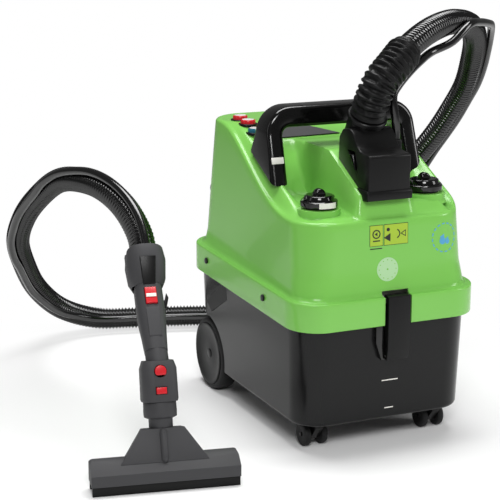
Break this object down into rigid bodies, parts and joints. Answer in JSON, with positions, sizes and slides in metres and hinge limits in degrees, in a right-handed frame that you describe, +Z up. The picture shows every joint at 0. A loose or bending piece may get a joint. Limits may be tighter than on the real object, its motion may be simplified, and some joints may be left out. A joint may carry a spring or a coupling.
{
  "type": "carpet cleaner machine",
  "caption": "Wheeled spray-extraction carpet cleaner: black tank, green lift-off head, arched handle, suction hose with a steam line, and a floor hand tool.",
  "frame": {"origin": "on the floor, under the centre of the box around the machine and its hand tool, cords left out", "axes": "+Z up, -Y towards the latch side (front), +X to the right seen from the front"},
  "size_m": [0.9169, 0.9115, 0.698],
  "materials": {
    "green_shell": "glossy apple green moulding",
    "tank_black": "glossy near-black tank moulding",
    "gloss_black": "glossy black",
    "satin_black": "satin black",
    "charcoal": "charcoal grey satin",
    "red": "glossy red",
    "teal": "glossy teal",
    "white": "white",
    "rubber": "matt black",
    "tyre": "matt black",
    "steel": "brushed",
    "aluminium": "cast",
    "board": "green board"
  },
  "bodies": {
    "machine": {"hood": "green_shell", "tank": "tank_black", "handle": "gloss_black", "screw_left_rear": "satin_black", "screw_left_front": "satin_black", "screw_right_rear": "satin_black", "screw_right_front": "satin_black", "head_plate": "satin_black", "water_pump": "satin_black", "float_cage": "satin_black", "suction_duct": "satin_black", "axle_left": "satin_black", "axle_right": "satin_black", "filler_neck_left": "satin_black", "filler_neck_right": "satin_black", "power_inlet": "satin_black", "connector_block": "satin_black", "hose_collar": "satin_black", "latch_bracket": "satin_black", "console_panel": "charcoal", "nozzle_body": "charcoal", "tool_neck": "charcoal", "tool_socket": "charcoal", "tool_grip": "charcoal", "tool_cuff": "charcoal", "handle_label": "white", "fresh_water_tank": "white", "tank_gasket": "rubber", "hose_boot": "rubber", "nozzle_lip_front": "rubber", "nozzle_lip_back": "rubber", "suction_hose": "rubber", "steam_hose": "rubber", "latch_pin": "steel", "latch_keeper": "steel", "boiler": "aluminium", "vacuum_motor": "aluminium", "control_board": "board"},
    "wheel_left": {"tyre_left": "tyre", "wheel_disc_left": "satin_black"},
    "wheel_right": {"tyre_right": "tyre", "wheel_disc_right": "satin_black"},
    "caster_left": {"caster_fork_left": "satin_black"},
    "caster_right": {"caster_fork_right": "satin_black"},
    "caster_left_outer_wheel": {"caster_wheel_left_outer": "tyre"},
    "caster_left_inner_wheel": {"caster_wheel_left_inner": "tyre"},
    "caster_right_outer_wheel": {"caster_wheel_right_outer": "tyre"},
    "caster_right_inner_wheel": {"caster_wheel_right_inner": "tyre"},
    "filler_cap_left": {"cap_left": "gloss_black"},
    "filler_cap_right": {"cap_right": "gloss_black"},
    "red_button_rear": {"button_red_rear": "red"},
    "red_button_front": {"button_red_front": "red"},
    "teal_knob": {"knob_teal": "teal"},
    "connector_button": {"connector_release": "gloss_black"},
    "front_latch": {"latch": "satin_black"},
    "tool_switch": {"grip_switch": "red", "switch_insert": "white"},
    "tool_lever": {"grip_lever": "satin_black"},
    "tool_socket_button": {"socket_button": "red"},
    "tool_socket_latch": {"socket_latch": "red"}
  },
  "joints": [
    {"name": "wheel_left_spin", "type": "hinge", "parent": "machine", "child": "wheel_left", "pos_m": [0.03118, 0.19452, 0.0665], "axis": [1, 0, 0], "continuous": true},
    {"name": "wheel_right_spin", "type": "hinge", "parent": "machine", "child": "wheel_right", "pos_m": [0.31318, 0.19452, 0.0665], "axis": [1, 0, 0], "continuous": true},
    {"name": "caster_left_swivel", "type": "hinge", "parent": "machine", "child": "caster_left", "pos_m": [0.06118, -0.15848, 0.04], "axis": [0, 0, 1], "continuous": true},
    {"name": "caster_left_outer_spin", "type": "hinge", "parent": "caster_left", "child": "caster_left_outer_wheel", "pos_m": [0.04618, -0.14448, 0.02], "axis": [1, 0, 0], "continuous": true},
    {"name": "caster_left_inner_spin", "type": "hinge", "parent": "caster_left", "child": "caster_left_inner_wheel", "pos_m": [0.07618, -0.14448, 0.02], "axis": [1, 0, 0], "continuous": true},
    {"name": "caster_right_swivel", "type": "hinge", "parent": "machine", "child": "caster_right", "pos_m": [0.28318, -0.15848, 0.04], "axis": [0, 0, 1], "continuous": true},
    {"name": "caster_right_outer_spin", "type": "hinge", "parent": "caster_right", "child": "caster_right_outer_wheel", "pos_m": [0.29818, -0.14448, 0.02], "axis": [1, 0, 0], "continuous": true},
    {"name": "caster_right_inner_spin", "type": "hinge", "parent": "caster_right", "child": "caster_right_inner_wheel", "pos_m": [0.26818, -0.14448, 0.02], "axis": [1, 0, 0], "continuous": true},
    {"name": "cap_left_turn", "type": "hinge", "parent": "machine", "child": "filler_cap_left", "pos_m": [0.07518, -0.13348, 0.41], "axis": [0, 0, 1], "range_deg": [0, 270]},
    {"name": "cap_right_turn", "type": "hinge", "parent": "machine", "child": "filler_cap_right", "pos_m": [0.26918, -0.13448, 0.422], "axis": [0, 0, 1], "range_deg": [0, 270]},
    {"name": "button_rear_press", "type": "slide", "parent": "machine", "child": "red_button_rear", "axis": [0, 0, 1], "range_m": [-0.002, 0], "stiffness_N_per_m": 400},
    {"name": "button_front_press", "type": "slide", "parent": "machine", "child": "red_button_front", "axis": [0, 0, 1], "range_m": [-0.002, 0], "stiffness_N_per_m": 400},
    {"name": "knob_turn", "type": "hinge", "parent": "machine", "child": "teal_knob", "pos_m": [0.06018, 0.08252, 0.495], "axis": [0, 0, 1], "range_deg": [-135, 135]},
    {"name": "connector_button_press", "type": "slide", "parent": "machine", "child": "connector_button", "axis": [1, 0, 0], "range_m": [0, 0.003], "stiffness_N_per_m": 400},
    {"name": "latch_open", "type": "hinge", "parent": "machine", "child": "front_latch", "pos_m": [0.18068, -0.20848, 0.158], "axis": [1, 0, 0], "range_deg": [0, 75]},
    {"name": "grip_switch_press", "type": "slide", "parent": "machine", "child": "tool_switch", "axis": [0.1422, 0.7051, -0.6947], "range_m": [0, 0.0015], "stiffness_N_per_m": 400},
    {"name": "grip_lever_pull", "type": "hinge", "parent": "machine", "child": "tool_lever", "pos_m": [-0.18805, -0.10221, 0.24828], "axis": [0.1422, 0.7051, -0.6947], "range_deg": [-8, 0], "stiffness_Nm_per_rad": 0.4},
    {"name": "socket_button_press", "type": "slide", "parent": "machine", "child": "tool_socket_button", "axis": [0.19, 0.9423, -0.2756], "range_m": [0, 0.0025], "stiffness_N_per_m": 400},
    {"name": "socket_latch_press", "type": "slide", "parent": "machine", "child": "tool_socket_latch", "axis": [0.19, 0.9423, -0.2756], "range_m": [0, 0.0025], "stiffness_N_per_m": 400}
  ]
}
